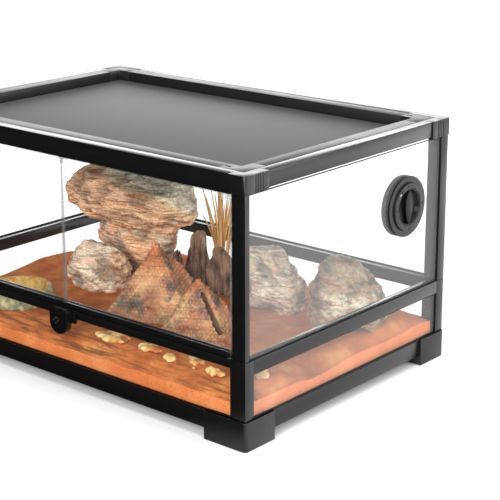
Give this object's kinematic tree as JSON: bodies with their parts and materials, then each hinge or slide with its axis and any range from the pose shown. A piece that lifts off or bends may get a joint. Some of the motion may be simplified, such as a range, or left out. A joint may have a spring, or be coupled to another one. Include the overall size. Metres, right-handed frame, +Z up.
{
  "type": "reptile terrarium",
  "caption": "Low glass terrarium in a black frame, with hinged front doors, a lift-off screen lid, a twist-out side port, a door lock and a furnished sand floor.",
  "frame": {"origin": "on the floor, at the centre of the four corner feet's outer faces", "axes": "+X to the right along the front, +Y towards the back, +Z up"},
  "size_m": [0.6014, 0.4153, 0.325],
  "materials": {
    "corner_plastic": "matte moulded black with a faint grain",
    "frame_plastic": "satin black extrusion with bright edge highlights",
    "clear_glass": "clear float glass with a faint green edge",
    "seal_rubber": "matte black sealing bead",
    "clear_plastic": "clear moulded plastic",
    "port_plastic": "fine grained dark grey plastic",
    "plug_plastic": "satin black plastic",
    "lock_plastic": "matte black plastic",
    "lock_metal": "plated steel",
    "lid_metal": "dark grey powder coat",
    "screen_metal": "fine dark woven mesh",
    "red_sand": "dry reddish orange sand",
    "red_rock": "layered reddish brown rock with grey green bands",
    "grey_rock": "rough grey brown rock",
    "hide_clay": "coursed orange clay with grey patches",
    "dish_stone": "stone coloured moulding with a yellow bowl",
    "bark": "dry grey brown bark",
    "dry_grass": "dry straw",
    "pale_stone": "pale yellow stone"
  },
  "bodies": {
    "tank": {"front_feet": "corner_plastic", "back_feet": "corner_plastic", "base_rail_front": "frame_plastic", "base_rail_back": "frame_plastic", "base_rail_left": "frame_plastic", "base_rail_right": "frame_plastic", "lower_post_front_left": "frame_plastic", "lower_post_front_right": "frame_plastic", "lower_post_back_left": "frame_plastic", "lower_post_back_right": "frame_plastic", "mid_rail_front": "frame_plastic", "mid_rail_back": "frame_plastic", "mid_rail_left": "frame_plastic", "mid_rail_right": "frame_plastic", "upper_post_front_left": "frame_plastic", "upper_post_front_right": "frame_plastic", "upper_post_back_left": "frame_plastic", "upper_post_back_right": "frame_plastic", "top_rail_front": "frame_plastic", "top_rail_back": "frame_plastic", "top_rail_left": "frame_plastic", "top_rail_right": "frame_plastic", "top_blocks_front": "corner_plastic", "top_blocks_back": "corner_plastic", "bottom_pane": "clear_glass", "lower_pane_front": "clear_glass", "lower_pane_back": "clear_glass", "lower_pane_left": "clear_glass", "lower_pane_right": "clear_glass", "upper_pane_back": "clear_glass", "upper_pane_left": "clear_glass", "upper_pane_right": "clear_glass", "glazing_beads": "seal_rubber", "pivot_bushes": "clear_plastic", "door_stop": "clear_plastic", "port_flange": "port_plastic", "port_nut": "port_plastic", "lock_body": "lock_plastic", "sand_bed": "red_sand", "slab_rock": "red_rock", "lower_slab": "red_rock", "boulders": "grey_rock", "stepped_hide": "hide_clay", "feeding_dish": "dish_stone", "bark": "bark", "grass_tuft": "dry_grass", "stones": "pale_stone"},
    "left_door": {"left_door_glass": "clear_glass", "left_door_rail": "frame_plastic", "left_door_shoe": "clear_plastic"},
    "right_door": {"right_door_glass": "clear_glass", "right_door_rail": "frame_plastic", "right_door_shoe": "clear_plastic"},
    "lid": {"lid_frame": "lid_metal", "lid_corners": "lid_metal", "lid_screen": "screen_metal"},
    "lock_cylinder": {"lock_cylinder": "lock_metal"},
    "lock_bolt": {"lock_bolt": "lock_metal"},
    "port_ring": {"port_ring": "port_plastic"},
    "port_plug": {"port_plug": "plug_plastic"}
  },
  "joints": [
    {"name": "left_door_swing", "type": "hinge", "parent": "tank", "child": "left_door", "pos_m": [-0.271, -0.1965, 0.2], "axis": [0, 0, -1], "range_deg": [0, 100]},
    {"name": "right_door_swing", "type": "hinge", "parent": "tank", "child": "right_door", "pos_m": [0.271, -0.1965, 0.2], "axis": [0, 0, 1], "range_deg": [0, 100]},
    {"name": "lid_lift", "type": "slide", "parent": "tank", "child": "lid", "axis": [0, 0, 1], "range_m": [0, 0.15]},
    {"name": "lock_turn", "type": "hinge", "parent": "tank", "child": "lock_cylinder", "pos_m": [-0.0036, -0.209, 0.0925], "axis": [0, -1, 0], "range_deg": [0, 90]},
    {"name": "bolt_slide", "type": "slide", "parent": "tank", "child": "lock_bolt", "axis": [0, 0, 1], "range_m": [0, 0.006]},
    {"name": "port_ring_turn", "type": "hinge", "parent": "tank", "child": "port_ring", "pos_m": [0.299, 0.112, 0.225], "axis": [1, 0, 0], "range_deg": [0, 60]},
    {"name": "port_plug_pull", "type": "slide", "parent": "port_ring", "child": "port_plug", "axis": [1, 0, 0], "range_m": [0, 0.06]}
  ],
  "couplings": [
    {"joint": "lock_turn", "follows": "bolt_slide", "rad_per_m": 261.7}
  ]
}
